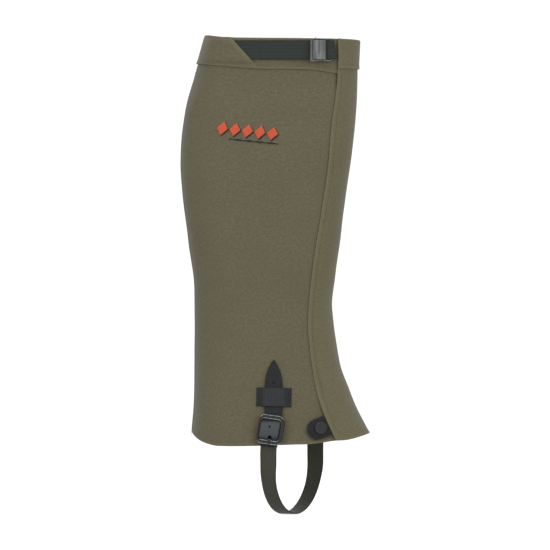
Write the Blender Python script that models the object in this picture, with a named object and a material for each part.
"""Knee-high hunting gaiter for the right leg.

A cloth sleeve with a full-height storm flap at the front, a webbing cinch strap with a cam buckle in the
top band, and an instep strap with a centre-bar buckle under the hem.
Frame: +X towards the shin and toe, -Y towards the outer (lateral) side, +Z up the leg.
The origin is on the leg's axis at the height of the bottom hem. Sizes are in millimetres.
"""

import math

import bmesh
import bpy
from mathutils import Matrix, Vector

MM = 0.001

# Sleeve: height, back, front, half depth, length of the round back end, length of the round front end.
PROFILE = (
    (0, -87.5, 103.6, 43.0, 36, 40),
    (17, -86, 94.6, 41.7, 36, 36),
    (38, -84, 83.6, 40.1, 36, 31),
    (63, -83, 73.6, 38.2, 36, 28),
    (89, -83, 64.6, 36.2, 36, 27),
    (145, -83, 56.6, 34.0, 38, 25),
    (177, -83.5, 59.6, 34.4, 39, 25),
    (215, -89, 64.6, 35.5, 40, 26),
    (291, -98, 74.6, 37.0, 40, 27),
    (352, -93, 81.6, 36.0, 34, 26),
    (398, -81, 83.4, 34.0, 22, 25),
    (440, -69.3, 85.4, 34.0, 18, 24),
)
BOTTOM_EDGE = ((-95, 24), (-87.5, 17), (-84, 11.6), (-78, 6.6), (-70, 3.2), (-60, 1), (-20, 1), (20, 2.4),
               (36, 2.8), (52, 4.8), (64, 6.6), (75, 7.4), (90, 12.2), (108, 21))
FLAP_EDGE = ((0, 68), (30, 53.6), (60, 43.8), (100, 37.5), (133, 35.4), (190, 40.5), (240, 48.5),
             (290, 56), (340, 60.3), (380, 65.7), (440, 66.5))
ROW_HEIGHTS = (12, 24, 38, 52, 66, 82, 100, 122, 145, 172, 200, 230, 262, 291, 322, 352, 378, 398, 415)
TOP_HEIGHT = 431.0
TOP_FALL = 0.03
BAND_SEAM = ((-95, 405), (-60, 401.5), (0, 399), (60, 396), (110, 398))
COLUMNS_PER_TURN = 8
EDGE_REACH = 60.0
BACK_EDGE = 0.04
UNDERLAP_END = 2.75
HEM_FACING = (1.0, 20.0)

# Layers of the sleeve: distance of each layer's inner face from the sleeve's inner face.
CLOTH = 1.0
LINING_IN = -1.2
LINING = 0.6
BAND_IN = 1.6
LOOP_IN = 1.6
HOOK_IN = 2.4
CLOSURE = 0.5
FLAP_IN = 3.4
FLAP_BAND_IN = 4.9
TUNNEL_IN = 5.8
CLOSURE_HEIGHTS = (45.0, 388.0)
CLOSURE_INSET = 0.06

# Flap hinge: a line just outside the shin, from the bottom hem to the top band.
HINGE_BOTTOM = Vector((80.5, -43.0, 0.0))
HINGE_TOP = Vector((81.0, -31.5, 432.0))
HINGE_GAP = 0.025

# Embroidered emblem.
EMBLEM_PLACE = (-28.5, 331.5)
EMBLEM_TILT = math.radians(6)
DIAMONDS = 5
DIAMOND_PITCH = 13.2
DIAMOND_HALF_HEIGHT = 8.5
DIAMOND_WAIST = 1.2

# Cinch strap and cam buckle.
CINCH_HEIGHT = 418.0
CINCH_START = -50.0
CINCH_TOP_LENGTH = 112.3
CINCH_BOTTOM_LENGTH = 116.0
CINCH_WIDTH = 20.0
CINCH_THICKNESS = 1.2
CINCH_OUT = 3.3
CINCH_LEAN = math.atan(0.035)
MOUTH_TOP = -43.0
MOUTH_BOTTOM = -25.0
CAM_PIN = (43.0, 10.8)
CAM_RADIUS = 2.5
PIN_RADIUS = 0.9
PIN_HOLE = 1.3
ANCHOR_BAR = (59.0, 4.9)
ANCHOR_WIDTH = 19.0
ANCHOR_WEBBING = 0.6
CHEEK_IN = 10.8
CHEEK = 1.2
LEVER_HALF = 10.2

# Instep strap, its buckle and keeper.
STRAP_WIDTH = 18.0
STRAP = 2.0
STRAP_LAY = ((91, 2.6), (90, 2.6), (88, 2.6), (85, 2.6), (81, 2.6), (76, 2.6), (71, 2.6), (65, 2.6),
             (60, 2.6), (44, 2.7), (37, 3.6), (33, 3.6), (28.5, 3.7), (26.3, 4.0), (23.5, 6.2), (20.5, 8.1),
             (17.5, 8.7), (14.5, 8.4), (12, 7.1), (9.6, 4.9), (8, 3.9), (6, 3.6), (4, 3.4), (0.5, 3.3),
             (-4, 3.3))
TAIL_SHOULDER = 26.0
TAIL_TIP_WIDTH = 1.2
TAIL_HOLES = ((67, 1.4), (24, 1.0))
PRONG_SLOT_HEIGHT = 9.4
STRAP_FOOT_X = -6.5
STRAP_TAIL_X = -0.8
LOOP_TOP = -20.0
LOOP_BOTTOM = -71.0
LOOP_FAR_X = 43.3
LOOP_FAR_OUT = 4.0
LOOP_SWAY = 2.5
LOOP_SKEW = math.radians(29)
BUCKLE_X = -4.0
BUCKLE_HEIGHT = 17.5
BUCKLE_TILT = math.radians(8.0)
FRAME_HALF = (13.7, 15.5)
WINDOW_HALF = (10.6, 11.2)
FRAME_OUT = (5.6, 8.8)
ROD_OUT = 4.7
ROD_RADIUS = 1.1
EYE_RADIUS = 1.8
EYE_PLATE = 0.8
CHAPE_WIDTH = 15.0
PRONG_WIDTH = 3.0
KEEPER_X = -0.6
KEEPER_HEIGHT = 52.0
KEEPER_WIDTH = 20.0
KEEPER_WEBBING = 0.9
KEEPER_TILT = math.radians(1.5)
RIVET_HEIGHTS = (31.0, 42.0)
RIVET_HOLE = 1.6

# Snap tab on the flap's lower edge.
SNAP_X = 48.6
SNAP_HEIGHT = 19.7
SNAP_TILT = math.radians(-22.8)
TAB_HALF_WIDTH = 10.8
TAB_EDGE = 8.0
TAB_OUT = (3.4, 4.8)

# Lace hook inside the front of the hem.
HOOK_HEIGHT = 31.0
HOOK_WIDTH = 6.0
HOOK_PLATE = 0.8

MATERIALS = {
    "shell_cloth": ((0.130, 0.116, 0.073), 0.9, 0.0),
    "lining_tape": ((0.080, 0.074, 0.050), 0.9, 0.0),
    "closure_black": ((0.020, 0.020, 0.020), 0.95, 0.0),
    "webbing_green": ((0.047, 0.056, 0.050), 0.75, 0.0),
    "webbing_black": ((0.030, 0.032, 0.033), 0.8, 0.0),
    "leather_black": ((0.030, 0.031, 0.033), 0.5, 0.0),
    "strap_olive": ((0.058, 0.058, 0.046), 0.65, 0.0),
    "satin_metal": ((0.33, 0.33, 0.32), 0.35, 1.0),
    "black_enamel": ((0.018, 0.019, 0.020), 0.25, 0.0),
    "emblem_thread": ((0.42, 0.075, 0.025), 0.6, 0.0),
}


# ---- Numbers and curves ----

def smooth(table, at, column=1):
    """Value of a table's column between its stations, on one smooth curve."""
    last = len(table) - 1
    index = 0
    while index < last - 1 and at > table[index + 1][0]:
        index += 1
    left, right = table[index], table[index + 1]
    before, after = table[max(index - 1, 0)], table[min(index + 2, last)]
    span = right[0] - left[0]
    part = min(max((at - left[0]) / span, 0.0), 1.0)
    rise_left = span * (right[column] - before[column]) / (right[0] - before[0])
    rise_right = span * (after[column] - left[column]) / (after[0] - left[0])
    ease = part * part * (3 - 2 * part)
    bend_left = part * (1 - part) ** 2
    bend_right = part * part * (part - 1)
    straight = left[column] * (1 - ease) + right[column] * ease
    return straight + rise_left * bend_left + rise_right * bend_right


def ramp(value, low, high):
    """0 below low, 1 above high, and a smooth rise between them."""
    part = min(max((value - low) / (high - low), 0.0), 1.0)
    return part * part * (3 - 2 * part)


def mix(first, second, part):
    return first + (second - first) * part


# ---- The sleeve's shape ----
# A turn counts round the sleeve: 0 back, 1 to 2 lateral side, 3 front, 4 to 5 medial side, 6 back again.

def sleeve_point(turn, height, out):
    """Point of the sleeve at a turn and height, a distance out from its inner face."""
    back, front, half_depth, back_round, front_round = (smooth(PROFILE, height, n) for n in range(1, 6))
    turn = turn % 6
    side = -1 if turn <= 3 else 1
    along = turn if turn <= 3 else 6 - turn
    depth = half_depth + out
    if along <= 1:
        angle = along * math.pi / 2
        x = back + back_round - (back_round + out) * math.cos(angle)
        depth *= math.sin(angle)
    elif along <= 2:
        x = mix(back + back_round, front - front_round, along - 1)
    else:
        angle = (along - 2) * math.pi / 2
        x = front - front_round + (front_round + out) * math.sin(angle)
        depth *= math.cos(angle)
    return Vector((x, side * depth, height))


def turn_at(x, height, out=0.0):
    """Turn of the lateral side's point at x."""
    back, front, _, back_round, front_round = (smooth(PROFILE, height, n) for n in range(1, 6))
    flat_back = back + back_round
    flat_front = front - front_round
    if x < flat_back:
        return math.acos(min((flat_back - x) / (back_round + out), 1.0)) * 2 / math.pi
    if x > flat_front:
        return 2 + math.asin(min((x - flat_front) / (front_round + out), 1.0)) * 2 / math.pi
    return 1 + (x - flat_back) / (flat_front - flat_back)


def lateral_frame(x, height, tilt=0.0):
    """Frame on the lateral side: X along the cloth, -Y straight out of it, Z up it, turned by tilt."""
    half_depth = smooth(PROFILE, height, 3)
    slope = (smooth(PROFILE, height + 1, 3) - smooth(PROFILE, height - 1, 3)) / 2
    place = Matrix.Translation((x, -half_depth, height))
    return place @ Matrix.Rotation(math.atan(slope), 4, "X") @ Matrix.Rotation(tilt, 4, "Y")


def top_edge(x):
    return TOP_HEIGHT - TOP_FALL * x


def bottom_edge(x):
    return smooth(BOTTOM_EDGE, x)


def band_seam(x):
    return smooth(BAND_SEAM, x)


def hinge_at(height):
    return mix(HINGE_BOTTOM, HINGE_TOP, height / HINGE_TOP.z)


def flap_start(height):
    """Turn of the flap's free edge."""
    return turn_at(smooth(FLAP_EDGE, height), height, FLAP_IN)


def flap_end(height):
    """Turn where the flap meets the medial panel: the foot of the hinge line on the sleeve."""
    turns = [2 + step / 400 for step in range(401)]
    axis = hinge_at(height)
    return min(turns, key=lambda turn: (sleeve_point(turn, height, FLAP_IN) - axis).length)


def medial_start(height):
    return flap_end(height) + HINGE_GAP


def medial_lift(turn):
    """The medial panel stands off over the underlap at the front, and lies at the sleeve elsewhere."""
    return FLAP_IN * (1 - ramp(turn, 3.1, 3.9))


def mouth_turn(height):
    """Turn of the tunnel's slanted mouth."""
    part = (height - CINCH_HEIGHT) / CINCH_WIDTH + 0.5
    return turn_at(mix(MOUTH_BOTTOM, MOUTH_TOP, part), height)


# ---- Making objects ----

def material(name):
    made = bpy.data.materials.get(name)
    if made:
        return made
    colour, roughness, metallic = MATERIALS[name]
    made = bpy.data.materials.new(name)
    made.use_nodes = True
    shader = made.node_tree.nodes["Principled BSDF"]
    shader.inputs["Base Color"].default_value = (*colour, 1.0)
    shader.inputs["Roughness"].default_value = roughness
    shader.inputs["Metallic"].default_value = metallic
    return made


def make_object(name, mesh_data, slot, frame=None, sharp=35.0):
    """Object from a bmesh drawn in millimetres in a frame."""
    bmesh.ops.recalc_face_normals(mesh_data, faces=mesh_data.faces)
    if mesh_data.calc_volume(signed=True) < 0:
        bmesh.ops.reverse_faces(mesh_data, faces=mesh_data.faces)
    bmesh.ops.scale(mesh_data, vec=(MM, MM, MM), verts=mesh_data.verts)
    mesh = bpy.data.meshes.new(name)
    mesh_data.to_mesh(mesh)
    mesh_data.free()
    mesh.shade_smooth()
    mesh.set_sharp_from_angle(angle=math.radians(sharp))
    made = bpy.data.objects.new(name, mesh)
    bpy.context.collection.objects.link(made)
    if slot:
        mesh.materials.append(material(slot))
    if frame:
        placed = frame.copy()
        placed.translation *= MM
        made.matrix_world = placed
    return made


def set_origin(piece, point):
    """Move a piece's origin to a point on its joint's axis, in millimetres, and leave the piece in place."""
    target = Matrix.Translation(Vector(point) * MM)
    piece.data.transform(target.inverted() @ piece.matrix_world)
    piece.matrix_world = target


def layered_mesh(inner, outer):
    """Closed sheet between two grids of points."""
    made = bmesh.new()
    grids = [[[made.verts.new(point) for point in row] for row in grid] for grid in (inner, outer)]
    rows, columns = len(inner), len(inner[0])
    for grid in grids:
        for row in range(rows - 1):
            for column in range(columns - 1):
                made.faces.new((grid[row][column], grid[row][column + 1],
                                grid[row + 1][column + 1], grid[row + 1][column]))
    rim = [(0, column) for column in range(columns)]
    rim += [(row, columns - 1) for row in range(1, rows)]
    rim += [(rows - 1, column) for column in range(columns - 2, -1, -1)]
    rim += [(row, 0) for row in range(rows - 2, 0, -1)]
    for here, there in zip(rim, rim[1:] + rim[:1]):
        corners = [grids[0][here[0]][here[1]], grids[0][there[0]][there[1]],
                   grids[1][there[0]][there[1]], grids[1][here[0]][here[1]]]
        made.faces.new(corners)
    return made


def wall(name, slot, turns, heights, inner, thickness=CLOTH):
    """Sheet on the sleeve between two turns (functions of height) and two heights (functions of x).
    Its rows follow the slope of each edge near it, and are level away from it."""
    start, end = turns
    low, high = heights
    bottom, top = low(0), high(0)
    middle = [height for height in ROW_HEIGHTS if bottom + 9 < height < top - 9]
    levels = [bottom] + middle + [top]
    widest = max(end(height) - start(height) for height in levels)
    columns = max(2, math.ceil(widest * COLUMNS_PER_TURN))
    reach = min(EDGE_REACH, top - bottom)
    grids = ([], [])
    for level in levels:
        rows = ([], [])
        near_bottom = 1 - ramp(level - bottom, 0, reach)
        near_top = 1 - ramp(top - level, 0, reach)
        for column in range(columns + 1):
            x = sleeve_point(mix(start(level), end(level), column / columns), level, 0).x
            height = level + (low(x) - bottom) * near_bottom + (high(x) - top) * near_top
            turn = mix(start(height), end(height), column / columns)
            for row, out in zip(rows, (inner(turn), inner(turn) + thickness)):
                row.append(sleeve_point(turn, height, out))
        for grid, row in zip(grids, rows):
            grid.append(row)
    return make_object(name, layered_mesh(*grids), slot)


def ribbon(name, slot, centres, acrosses, widths, thickness, frame=None):
    """Flat strip along a path, with the direction across it and its width at each point."""
    grids = ([], [])
    count = len(centres)
    for index, (centre, across, width) in enumerate(zip(centres, acrosses, widths)):
        tangent = (centres[min(index + 1, count - 1)] - centres[max(index - 1, 0)]).normalized()
        across = (across - tangent * across.dot(tangent)).normalized()
        normal = tangent.cross(across).normalized()
        for grid, side in zip(grids, (-0.5, 0.5)):
            base = centre + normal * (side * thickness)
            grid.append([base - across * (width / 2), base + across * (width / 2)])
    return make_object(name, layered_mesh(*grids), slot, frame)


def strip_in_frame(name, slot, path, width, thickness, frame, along_x=False):
    """Strip whose path is drawn in a frame as (along, out) points; along is Z, or X where along_x."""
    if along_x:
        centres = [Vector((along, -out, 0)) for along, out in path]
    else:
        centres = [Vector((0, -out, along)) for along, out in path]
    across = Vector((0, 0, 1)) if along_x else Vector((1, 0, 0))
    count = len(path)
    return ribbon(name, slot, centres, [across] * count, [width] * count, thickness, frame)


def prism(name, slot, outline, low, high, frame=None):
    """Outline in the frame's XZ plane, from low to high out of it."""
    made = bmesh.new()
    rings = [[made.verts.new((x, -out, z)) for x, z in outline] for out in (low, high)]
    made.faces.new(rings[0])
    made.faces.new(rings[1])
    for index in range(len(outline)):
        following = (index + 1) % len(outline)
        made.faces.new((rings[0][index], rings[0][following], rings[1][following], rings[1][index]))
    return make_object(name, made, slot, frame)


def side_prism(name, slot, outline, low, high, frame):
    """Outline in the frame's (x, out) plane, from a low to a high Z."""
    upright = frame @ Matrix.Rotation(math.pi / 2, 4, "X")
    return prism(name, slot, outline, -high, -low, upright)


def turned(name, slot, profile, frame, sides=16):
    """Round piece about the frame's Y axis, from (radius, out) points; a profile off the axis is a ring."""
    made = bmesh.new()
    closed = profile[0][0] > 0
    rings = []
    for radius, out in profile:
        if radius == 0:
            rings.append([made.verts.new((0, -out, 0))] * sides)
            continue
        angles = [2 * math.pi * side / sides for side in range(sides)]
        rings.append([made.verts.new((radius * math.cos(a), -out, radius * math.sin(a))) for a in angles])
    pairs = list(zip(rings, rings[1:] + rings[:1])) if closed else list(zip(rings, rings[1:]))
    for first, second in pairs:
        for side in range(sides):
            following = (side + 1) % sides
            corners = (first[side], first[following], second[following], second[side])
            made.faces.new(list(dict.fromkeys(corners)))
    return make_object(name, made, slot, frame)


def rounded_rectangle(half_x, half_z, radius, steps=4):
    points = []
    for corner, (sign_x, sign_z) in enumerate(((1, 1), (-1, 1), (-1, -1), (1, -1))):
        for step in range(steps + 1):
            angle = math.pi / 2 * (corner + step / steps)
            points.append((sign_x * (half_x - radius) + radius * math.cos(angle),
                           sign_z * (half_z - radius) + radius * math.sin(angle)))
    return points


def combine(piece, other, operation, solver="EXACT"):
    """Boolean of a piece with a guide object, which is left out of the model."""
    other.hide_render = True
    other.display_type = "WIRE"
    modifier = piece.modifiers.new(operation.title(), "BOOLEAN")
    modifier.operation = operation
    modifier.solver = solver
    modifier.object = other


def drill(pieces, radius, low, high, frame, solver="EXACT"):
    """Cut one round hole through several pieces; the wide thin panels need the MANIFOLD solver."""
    cutter = turned("drill_guide", None, ((0, low), (radius, low), (radius, high), (0, high)), frame, 12)
    for piece in pieces:
        combine(piece, cutter, "DIFFERENCE", solver)


# ---- Cloth ----

def constant(value):
    return lambda _: value


def make_panels():
    edges = (bottom_edge, top_edge)
    wall("lateral_panel", "shell_cloth", (constant(BACK_EDGE), constant(UNDERLAP_END)), edges, constant(0))
    wall("medial_panel", "shell_cloth", (medial_start, constant(6 - BACK_EDGE)), edges, medial_lift)
    wall("back_seam_tape", "lining_tape", (constant(5.8), constant(6.2)),
         (lambda x: bottom_edge(x) + 6, lambda x: top_edge(x) - 5), constant(LINING_IN), LINING)
    hem = (lambda x: bottom_edge(x) + HEM_FACING[0], lambda x: bottom_edge(x) + HEM_FACING[1])
    wall("hem_facing_lateral", "lining_tape", (constant(0.3), constant(2.65)), hem,
         constant(LINING_IN), LINING)
    wall("hem_facing_medial", "lining_tape", (constant(3.2), constant(5.7)), hem,
         lambda turn: medial_lift(turn) + LINING_IN, LINING)


def make_top_bands():
    band = (band_seam, lambda x: top_edge(x) + 0.6)
    tunnel_rise = TUNNEL_IN - BAND_IN
    wall("top_band_rear", "shell_cloth", (constant(BACK_EDGE), mouth_turn), band,
         lambda turn: BAND_IN + tunnel_rise * ramp(turn, 0.2, 1.0))
    wall("top_band_front", "shell_cloth", (lambda height: turn_at(CINCH_START + 2, height),
                                           lambda height: turn_at(smooth(FLAP_EDGE, height) + 5, height)),
         band, constant(BAND_IN))
    wall("top_band_medial", "shell_cloth", (medial_start, constant(6 - BACK_EDGE)), band,
         lambda turn: medial_lift(turn) + BAND_IN)
    return band


def make_flap(band):
    turns = (flap_start, flap_end)
    flap = wall("front_flap", "shell_cloth", turns, (bottom_edge, top_edge), constant(FLAP_IN))
    flap_band = wall("flap_top_band", "shell_cloth", turns, band, constant(FLAP_BAND_IN))
    closure = tuple(constant(height) for height in CLOSURE_HEIGHTS)
    wall("loop_strip", "closure_black", (lambda height: flap_start(height) + CLOSURE_INSET / 2,
                                         lambda height: flap_end(height) - CLOSURE_INSET / 2),
         closure, constant(LOOP_IN), CLOSURE)
    hook = wall("hook_strip", "closure_black", (lambda height: flap_start(height) + CLOSURE_INSET,
                                                lambda height: flap_end(height) - CLOSURE_INSET),
                closure, constant(HOOK_IN), CLOSURE)
    for piece in (flap, flap_band, hook):
        set_origin(piece, HINGE_BOTTOM)


def make_emblem():
    """Embroidered row of diamonds, joined at their corners."""
    frame = lateral_frame(*EMBLEM_PLACE, EMBLEM_TILT)
    start = -DIAMONDS * DIAMOND_PITCH / 2
    upper = [(start, DIAMOND_WAIST)]
    for index in range(DIAMONDS):
        upper.append((start + DIAMOND_PITCH * (index + 0.5), DIAMOND_HALF_HEIGHT))
        upper.append((start + DIAMOND_PITCH * (index + 1), DIAMOND_WAIST))
    outline = upper + [(x, -z) for x, z in reversed(upper)]
    prism("embroidered_emblem", "emblem_thread", outline, 1.3, 1.8, frame)


# ---- Cinch strap and cam buckle ----

def make_cinch():
    frame = lateral_frame(0, CINCH_HEIGHT)
    lean = Matrix.Translation((CINCH_START, -CINCH_OUT, 0)) @ Matrix.Rotation(-CINCH_LEAN, 4, "Z")
    half = CINCH_WIDTH / 2
    outline = ((0, half), (CINCH_TOP_LENGTH, half), (CINCH_BOTTOM_LENGTH, -half), (0, -half))
    prism("cinch_strap", "webbing_green", outline, 0, CINCH_THICKNESS, frame @ lean)
    make_cam_frame(frame)
    make_cam_lever(frame)
    bar_x, bar_out = ANCHOR_BAR
    hook = [(41.0, 3.35), (48.0, 3.35), (54.0, 3.35), (57.5, 3.35)]
    for step in range(9):
        angle = math.radians(-80 + 32 * step)
        hook.append((bar_x + 1.55 * math.cos(angle), bar_out + 1.55 * math.sin(angle)))
    strip_in_frame("cinch_anchor_webbing", "webbing_green", hook, ANCHOR_WIDTH, ANCHOR_WEBBING, frame,
                   along_x=True)


def make_cam_frame(frame):
    """Base plate, two cheeks and the anchor bar, in one stamped piece."""
    plate = prism("cam_frame", "satin_metal", ((40, -12), (55, -12), (55, 12), (40, 12)), 3.9, 4.9, frame)
    cheek = ((40, 3.9), (61, 3.9), (61.5, 6.5), (58, 8.5), (50, 9.5), (46, 12.0), (42, 12.4), (40, 11.4))
    for low, high in ((-CHEEK_IN - CHEEK, -CHEEK_IN), (CHEEK_IN, CHEEK_IN + CHEEK)):
        combine(plate, side_prism("cheek_guide", None, cheek, low, high, frame), "UNION")
    bar = round_bar("bar_guide", None, ANCHOR_BAR, PIN_RADIUS, CHEEK_IN + CHEEK / 2, frame)
    combine(plate, bar, "UNION")
    combine(plate, round_bar("pin_guide", None, CAM_PIN, PIN_HOLE, CHEEK_IN + 3, frame), "DIFFERENCE")
    round_bar("cam_pin", "satin_metal", CAM_PIN, PIN_RADIUS, CHEEK_IN + CHEEK + 0.8, frame)


def round_bar(name, slot, centre, radius, half_length, frame, sides=12):
    """Bar along the frame's Z at an (x, out) place."""
    angles = [2 * math.pi * side / sides for side in range(sides)]
    outline = [(centre[0] + radius * math.cos(a), centre[1] + radius * math.sin(a)) for a in angles]
    return side_prism(name, slot, outline, -half_length, half_length, frame)


def make_cam_lever(frame):
    """Eccentric cam on the pin, with a curved thumb plate."""
    plate = ((40.3, 12.3), (44, 13.6), (48, 13.8), (52, 13.1), (55.6, 11.7),
             (55.2, 10.6), (51.6, 12.0), (48, 12.6), (45, 11.6), (42, 10.2), (40.6, 10.8))
    lever = side_prism("cam_lever", "satin_metal", plate, -LEVER_HALF, LEVER_HALF, frame)
    cam_centre = (CAM_PIN[0] + 0.5, CAM_PIN[1])
    cam = round_bar("cam_guide", None, cam_centre, CAM_RADIUS, LEVER_HALF - 0.4, frame, 20)
    combine(lever, cam, "UNION")
    combine(lever, round_bar("lever_pin_guide", None, CAM_PIN, 1.25, LEVER_HALF + 2, frame), "DIFFERENCE")
    set_origin(lever, frame @ Vector((CAM_PIN[0], -CAM_PIN[1], 0)))


# ---- Instep strap and buckle ----

def strap_x(height):
    """The strap runs down its tail, leans through the buckle and hangs below."""
    return mix(STRAP_FOOT_X, STRAP_TAIL_X, ramp(height, -6, 42))


def strap_centres():
    """Centre line from the tail's tip, down the lateral side, under the boot and up the medial side."""
    half_depth = PROFILE[0][3]
    points = []
    for height, out in STRAP_LAY:
        depth = smooth(PROFILE, height, 3) if height > 0 else half_depth
        points.append(Vector((strap_x(height), -depth - out, height)))
    near = Vector((STRAP_FOOT_X, -half_depth - STRAP_LAY[-1][1], LOOP_TOP))
    far = Vector((LOOP_FAR_X, half_depth + LOOP_FAR_OUT, LOOP_TOP))
    points.append(Vector((near.x, near.y, -12)))
    steps = 15
    for step in range(steps + 1):
        angle = math.pi * step / steps
        along = (1 - math.cos(angle)) / 2
        point = near.lerp(far, along)
        point.z = mix(LOOP_TOP, LOOP_BOTTOM, math.sin(angle))
        point.x -= LOOP_SWAY * math.sin(angle)
        points.append(point)
    for height in (-8, 4, 18, 34, 51):
        depth = smooth(PROFILE, height, 3) if height > 0 else half_depth
        points.append(Vector((LOOP_FAR_X, depth + LOOP_FAR_OUT, height)))
    return points


def strap_width(height):
    """Full width, narrowed to a point at the tail's tip."""
    below_tip = STRAP_LAY[0][0] - height
    if below_tip > TAIL_SHOULDER:
        return STRAP_WIDTH
    return mix(TAIL_TIP_WIDTH, STRAP_WIDTH, math.sqrt(below_tip / TAIL_SHOULDER))


def make_instep_strap():
    centres = strap_centres()
    acrosses = []
    for point in centres:
        skew = LOOP_SKEW * ramp(-point.z, 2, 45)
        acrosses.append(Vector((math.cos(skew), -math.sin(skew), 0)))
    widths = [strap_width(point.z) for point in centres]
    strap = ribbon("instep_strap", "strap_olive", centres, acrosses, widths, STRAP)
    for height, radius in TAIL_HOLES:
        frame = lateral_frame(strap_x(height), height)
        drill([strap], radius, 0.5, 14, frame)
    slot = lateral_frame(strap_x(PRONG_SLOT_HEIGHT), PRONG_SLOT_HEIGHT, BUCKLE_TILT)
    outline = rounded_rectangle(2.1, 2.5, 1.2, 2)
    combine(strap, prism("prong_slot_guide", None, outline, 2, 12, slot), "DIFFERENCE")
    return strap


def eye_path(low, high, steps):
    """Arc round the buckle's centre rod as (along, out) points, from a low to a high angle in degrees."""
    angles = [math.radians(mix(low, high, step / steps)) for step in range(steps + 1)]
    return [(EYE_RADIUS * math.cos(a), ROD_OUT + EYE_RADIUS * math.sin(a)) for a in angles]


def make_instep_buckle():
    frame = lateral_frame(BUCKLE_X, BUCKLE_HEIGHT, BUCKLE_TILT)
    outline = rounded_rectangle(*FRAME_HALF, 6.5)
    ring = prism("instep_buckle_frame", "black_enamel", outline, *FRAME_OUT, frame)
    window = prism("window_guide", None, rounded_rectangle(*WINDOW_HALF, 3.5), 4, 10, frame)
    combine(ring, window, "DIFFERENCE")
    middle = (WINDOW_HALF[0] + FRAME_HALF[0]) / 2
    lug_half = (FRAME_HALF[0] - WINDOW_HALF[0]) / 2 - 0.05
    for side in (-1, 1):
        outline = [(side * middle + x, z) for x, z in rounded_rectangle(lug_half, 5.0, 1.0, 2)]
        combine(ring, prism("lug_guide", None, outline, 3.5, 7.0, frame), "UNION")
    angles = [2 * math.pi * step / 12 for step in range(12)]
    rod = [(-ROD_OUT - ROD_RADIUS * math.cos(a), ROD_RADIUS * math.sin(a)) for a in angles]
    quarter = frame @ Matrix.Rotation(math.pi / 2, 4, "Z")
    combine(ring, prism("rod_guide", None, rod, -middle, middle, quarter), "UNION")
    set_origin(ring, frame @ Vector((0, -ROD_OUT, 0)))
    make_chape(frame)
    make_prong(frame)


def make_chape(frame):
    """Strip sewn to the panel and folded round the rod, with a slot for the prong."""
    path = [(19.0, 1.75), (12.0, 1.75), (6.5, 1.75), (3.6, 2.1), (1.4, 2.75)] + eye_path(-90, -340, 10)
    chape = strip_in_frame("buckle_chape", "leather_black", path, CHAPE_WIDTH, EYE_PLATE, frame)
    slot = prism("chape_slot_guide", None, ((-2.1, -6), (2.1, -6), (2.1, 5), (-2.1, 5)), 0, 9, frame)
    combine(chape, slot, "DIFFERENCE")


def make_prong(frame):
    """Flat prong with a curled eye; it comes through the strap and rests on the bottom bar."""
    reach = [(-3.0, 6.0), (-5.0, 5.1), (-6.6, 4.7), (-7.9, 5.2), (-8.9, 6.7), (-9.8, 8.6), (-11.2, 9.8),
             (-13.0, 10.0), (-15.0, 9.8)]
    path = eye_path(-110, 100, 9) + reach
    prong = strip_in_frame("buckle_prong", "black_enamel", path, PRONG_WIDTH, EYE_PLATE, frame)
    set_origin(prong, frame @ Vector((0, -ROD_OUT, 0)))


def make_keeper():
    """Flat webbing bridge over the tail, sewn down at both ends."""
    frame = lateral_frame(KEEPER_X, KEEPER_HEIGHT, KEEPER_TILT)
    half = [(19.0, 1.75), (14.0, 1.75), (12.4, 1.8), (11.6, 2.7), (10.9, 4.1), (9.6, 4.65), (6.0, 4.7)]
    path = [(-along, out) for along, out in half] + list(reversed(half))
    strip_in_frame("strap_keeper", "webbing_black", path, KEEPER_WIDTH, KEEPER_WEBBING, frame, along_x=True)


def make_medial_anchor(strap):
    """Patch and two rivets that hold the strap's far end to the medial panel."""
    height = sum(RIVET_HEIGHTS) / 2
    lateral = lateral_frame(LOOP_FAR_X, height)
    frame = Matrix.Scale(-1, 4, (0, 1, 0)) @ lateral @ Matrix.Scale(-1, 4, (1, 0, 0))
    patch = prism("medial_strap_patch", "leather_black", rounded_rectangle(13, 14, 3, 3), 1.4, 2.5, frame)
    panel = bpy.data.objects["medial_panel"]
    for number, rivet_height in enumerate(RIVET_HEIGHTS, 1):
        place = frame @ Matrix.Translation((0, 0, rivet_height - height))
        drill([strap, patch], RIVET_HOLE, -1, 9, place)
        drill([panel], RIVET_HOLE, -1, 2, place, "MANIFOLD")
        turned(f"strap_rivet_{number}", "satin_metal",
               ((0, -1.8), (1.1, -1.8), (1.1, 5.5), (4.0, 5.5), (4.2, 6.1), (3.0, 6.8), (0, 7.1)), place)
        turned(f"rivet_burr_{number}", "satin_metal",
               ((1.5, -1.2), (3.6, -1.2), (3.6, -0.5), (1.5, -0.5)), place)


# ---- Snap tab and lace hook ----

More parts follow.
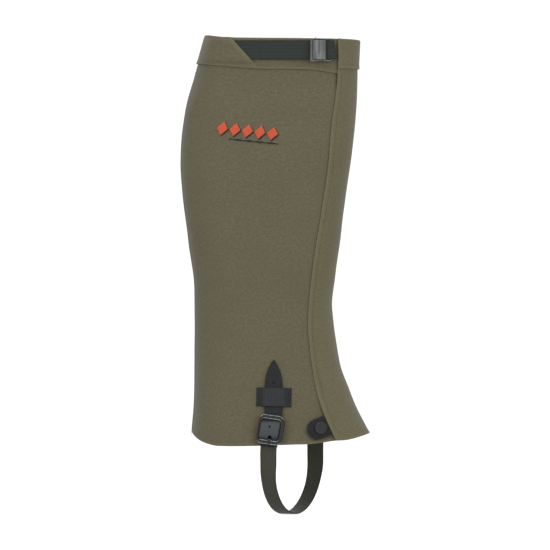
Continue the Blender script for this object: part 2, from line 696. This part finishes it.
def make_snap():
    """Leather tab with its cap and socket on the flap's side, and the stud that they press onto."""
    frame = lateral_frame(SNAP_X, SNAP_HEIGHT, SNAP_TILT)
    nose = -TAB_EDGE / 2
    arc = [math.radians(90 + 15 * step) for step in range(13)]
    outline = [(TAB_EDGE, -TAB_HALF_WIDTH), (TAB_EDGE, TAB_HALF_WIDTH)]
    outline += [(nose + TAB_HALF_WIDTH * math.cos(a), TAB_HALF_WIDTH * math.sin(a)) for a in arc]
    tab = prism("snap_tab", "leather_black", outline, *TAB_OUT, frame)
    drill([tab], 1.8, 2, 6, frame)
    dome = ((0, 3.0), (1.4, 3.0), (1.4, 5.1), (6.7, 5.1), (6.9, 5.9), (6.2, 6.8), (4.5, 7.5), (2.2, 7.9),
            (0, 8.0))
    cap = turned("snap_cap", "black_enamel", dome, frame, 24)
    ring = ((2.6, 2.2), (5.2, 2.2), (5.2, 3.0), (2.6, 3.0))
    socket = turned("snap_socket", "satin_metal", ring, frame, 20)
    for piece in (tab, cap, socket):
        set_origin(piece, frame @ Vector((TAB_EDGE, -TAB_OUT[1], 0)))
    stud = ((0, -2.2), (0.9, -2.2), (0.9, 1.3), (4.6, 1.3), (4.6, 1.7), (1.6, 1.7), (2.0, 2.4), (1.4, 2.7),
            (0, 2.7))
    turned("snap_stud", "satin_metal", stud, frame)
    turned("snap_stud_back", "satin_metal", ((1.2, -2.0), (4.6, -2.0), (4.6, -1.5), (1.2, -1.5)), frame)
    layers = [bpy.data.objects["lateral_panel"], bpy.data.objects["hem_facing_lateral"]]
    drill(layers, 1.3, -2, 1.2, frame, "MANIFOLD")


def make_lace_hook():
    """J hook riveted to a patch inside the front of the hem, open upwards for the boot's lowest lace."""
    slope = (smooth(PROFILE, HOOK_HEIGHT + 5, 2) - smooth(PROFILE, HOOK_HEIGHT - 5, 2)) / 10
    inside = Matrix.Translation((smooth(PROFILE, HOOK_HEIGHT, 2) + FLAP_IN, 0, HOOK_HEIGHT))
    frame = inside @ Matrix.Rotation(math.atan(slope), 4, "Y") @ Matrix.Rotation(-math.pi / 2, 4, "Z")
    patch = prism("lace_hook_patch", "leather_black", rounded_rectangle(5, 9, 2, 2), 0.7, 1.5, frame)
    path = [(7, 2.2), (2, 2.2), (-3, 2.2), (-6, 2.4), (-7.5, 3.0), (-8.0, 3.9), (-8.0, 5.1), (-7.4, 6.0),
            (-5.8, 6.6), (-2.0, 6.9)]
    hook = strip_in_frame("lace_hook", "satin_metal", path, HOOK_WIDTH, HOOK_PLATE, frame)
    place = frame @ Matrix.Translation((0, 0, 3.0))
    drill([patch, hook], 1.2, 0, 3.5, place)
    turned("lace_hook_rivet", "satin_metal",
           ((0, 0.4), (0.9, 0.4), (0.9, 2.9), (2.4, 2.9), (2.2, 3.5), (0, 3.9)), place)


def main():
    for existing in list(bpy.data.objects):
        bpy.data.objects.remove(existing, do_unlink=True)
    make_panels()
    make_flap(make_top_bands())
    make_emblem()
    make_cinch()
    make_instep_buckle()
    make_keeper()
    make_medial_anchor(make_instep_strap())
    make_snap()
    make_lace_hook()


main()
